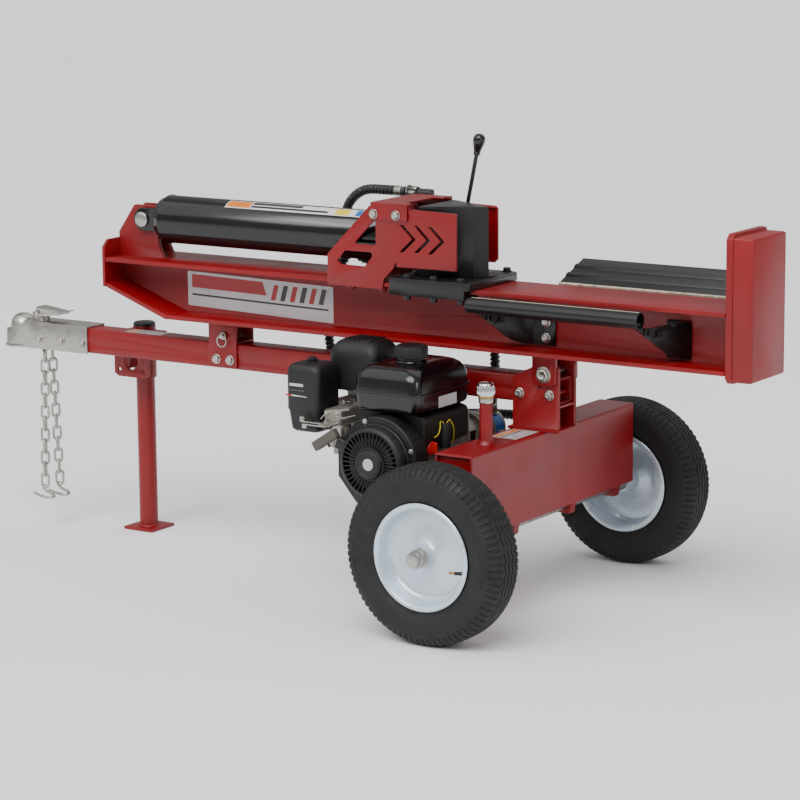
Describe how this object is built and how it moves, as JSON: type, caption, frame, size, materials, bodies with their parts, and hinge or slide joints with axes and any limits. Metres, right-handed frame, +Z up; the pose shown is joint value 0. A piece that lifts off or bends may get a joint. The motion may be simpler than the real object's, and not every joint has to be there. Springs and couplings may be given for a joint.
{
  "type": "log splitter",
  "caption": "Tow-behind hydraulic log splitter: wedge driven along a tilting beam by a cylinder, petrol engine and pump on a two-wheeled tank, tongue with coupler and drop leg.",
  "frame": {"origin": "middle of the ground plan, at ground level", "axes": "+X along the beam from the coupler to the foot plate, +Y towards the valve side, +Z up"},
  "size_m": [2.193, 1.073, 1.0751],
  "materials": {
    "red_enamel": "gloss powder coat",
    "bare_steel": "machined",
    "hard_chrome": "polished",
    "zinc_plate": "zinc plated",
    "tyre_rubber": "moulded",
    "white_enamel": "gloss white paint",
    "black_enamel": "satin black paint",
    "cast_iron": "as cast",
    "cast_aluminium": "as cast",
    "grey_plastic": "moulded",
    "black_plastic": "moulded",
    "black_gloss": "gloss black paint",
    "red_plastic": "moulded",
    "hose_rubber": "smooth"
  },
  "bodies": {
    "chassis": {"oil_tank": "red_enamel", "axle_shaft": "bare_steel", "filler_neck": "red_enamel", "upright_frame": "red_enamel", "tongue_tube": "red_enamel", "tilt_pivot_bolt": "zinc_plate", "beam_rest_bracket": "red_enamel", "coupler_body": "zinc_plate", "stand_bracket": "red_enamel", "engine_mount_plate": "red_enamel", "engine_block": "cast_aluminium", "blower_housing": "black_enamel", "recoil_cover": "black_enamel", "fuel_tank": "black_gloss", "air_cleaner_cover": "black_plastic", "muffler_guard": "black_plastic", "carburetor": "cast_aluminium", "bell_housing": "cast_aluminium", "hydraulic_pump": "cast_aluminium", "suction_hose": "hose_rubber"},
    "beam_assembly": {"beam": "red_enamel", "foot_plate": "red_enamel", "guard_near": "red_enamel", "guard_far": "red_enamel", "guard_bridge": "red_enamel", "cylinder_barrel": "black_enamel", "cylinder_gland": "black_enamel", "butt_pin": "zinc_plate", "control_valve": "cast_iron", "butt_oil_tube": "bare_steel", "cradle_bracket_left": "black_enamel", "cradle_bracket_right": "black_enamel", "cradle_bar": "black_enamel", "log_table": "black_enamel", "pressure_hose": "hose_rubber", "return_hose": "hose_rubber"},
    "ram": {"piston_rod": "hard_chrome", "wedge": "black_enamel", "rod_pin": "bare_steel", "slide_plate": "black_enamel"},
    "lever": {"valve_lever": "black_enamel"},
    "near_wheel": {"near_tyre": "tyre_rubber", "near_rim": "white_enamel"},
    "far_wheel": {"far_tyre": "tyre_rubber", "far_rim": "white_enamel"},
    "latch": {"coupler_latch": "zinc_plate"},
    "leg": {"stand_leg": "red_enamel"},
    "leg_pin": {"stand_pin": "zinc_plate"},
    "lock_pin": {"beam_lock_pin": "zinc_plate"},
    "chain_near": {"safety_chain_near": "zinc_plate"},
    "chain_far": {"safety_chain_far": "zinc_plate"},
    "fuel_filler": {"fuel_cap": "black_plastic"},
    "breather": {"breather_cap": "hard_chrome"},
    "oil_stick": {"dipstick": "red_plastic"},
    "grip": {"starter_grip": "black_plastic"},
    "pulley": {"starter_pulley": "grey_plastic"},
    "crank": {"crankshaft": "bare_steel"},
    "choke": {"choke_lever": "grey_plastic"},
    "throttle": {"throttle_lever": "grey_plastic"}
  },
  "joints": [
    {"name": "beam_tilt", "type": "hinge", "parent": "chassis", "child": "beam_assembly", "pos_m": [0.5505, 0, 0.55], "axis": [0, 1, 0], "range_deg": [0, 90], "deforming": ["pressure_hose", "return_hose"]},
    {"name": "ram_stroke", "type": "slide", "parent": "beam_assembly", "child": "ram", "axis": [1, 0, 0], "range_m": [0, 0.61]},
    {"name": "valve_lever_swing", "type": "hinge", "parent": "beam_assembly", "child": "lever", "pos_m": [0.2185, 0.13, 0.838], "axis": [0, 1, 0], "range_deg": [-15, 15], "stiffness_Nm_per_rad": 20},
    {"name": "near_wheel_spin", "type": "hinge", "parent": "chassis", "child": "near_wheel", "pos_m": [0.4995, -0.452, 0.205], "axis": [0, 1, 0], "continuous": true},
    {"name": "far_wheel_spin", "type": "hinge", "parent": "chassis", "child": "far_wheel", "pos_m": [0.4995, 0.452, 0.205], "axis": [0, 1, 0], "continuous": true},
    {"name": "latch_lift", "type": "hinge", "parent": "chassis", "child": "latch", "pos_m": [-0.9845, 0, 0.567], "axis": [0, -1, 0], "range_deg": [0, 70]},
    {"name": "leg_height", "type": "slide", "parent": "chassis", "child": "leg", "axis": [0, 0, 1], "range_m": [0, 0.12]},
    {"name": "leg_pin_pull", "type": "slide", "parent": "chassis", "child": "leg_pin", "axis": [0, -1, 0], "range_m": [0, 0.01]},
    {"name": "lock_pin_pull", "type": "slide", "parent": "chassis", "child": "lock_pin", "axis": [0, -1, 0], "range_m": [0, 0.095]},
    {"name": "near_chain_swing", "type": "hinge", "parent": "chassis", "child": "chain_near", "pos_m": [-0.9665, -0.014, 0.5], "axis": [0, 1, 0], "range_deg": [-25, 25]},
    {"name": "far_chain_swing", "type": "hinge", "parent": "chassis", "child": "chain_far", "pos_m": [-0.9665, 0.014, 0.5], "axis": [0, 1, 0], "range_deg": [-25, 25]},
    {"name": "fuel_cap_turn", "type": "hinge", "parent": "chassis", "child": "fuel_filler", "pos_m": [0.2895, -0.208, 0.6], "axis": [0, 0, 1], "range_deg": [0, 120]},
    {"name": "breather_turn", "type": "hinge", "parent": "chassis", "child": "breather", "pos_m": [0.5075, -0.235, 0.52], "axis": [0, 0, 1], "range_deg": [0, 90]},
    {"name": "dipstick_turn", "type": "hinge", "parent": "chassis", "child": "oil_stick", "pos_m": [0.365, -0.256, 0.396], "axis": [1, 0, 0], "range_deg": [0, 180]},
    {"name": "starter_pull", "type": "slide", "parent": "chassis", "child": "grip", "axis": [-0.5447, 0, 0.8386], "range_m": [0, 0.45], "stiffness_N_per_m": 15, "springref_m": -0.4},
    {"name": "pulley_turn", "type": "hinge", "parent": "chassis", "child": "pulley", "pos_m": [0.2845, -0.3455, 0.37], "axis": [0, 1, 0], "range_deg": [0, 480]},
    {"name": "crank_spin", "type": "hinge", "parent": "chassis", "child": "crank", "pos_m": [0.2845, 0, 0.37], "axis": [0, 1, 0], "continuous": true},
    {"name": "choke_swing", "type": "hinge", "parent": "chassis", "child": "choke", "pos_m": [0.1275, -0.325, 0.439], "axis": [0, 0, 1], "range_deg": [0, 25]},
    {"name": "throttle_swing", "type": "hinge", "parent": "chassis", "child": "throttle", "pos_m": [0.1275, -0.325, 0.433], "axis": [0, 0, 1], "range_deg": [0, 25]}
  ],
  "couplings": [
    {"joint": "pulley_turn", "follows": "starter_pull", "rad_per_m": 17.86}
  ]
}
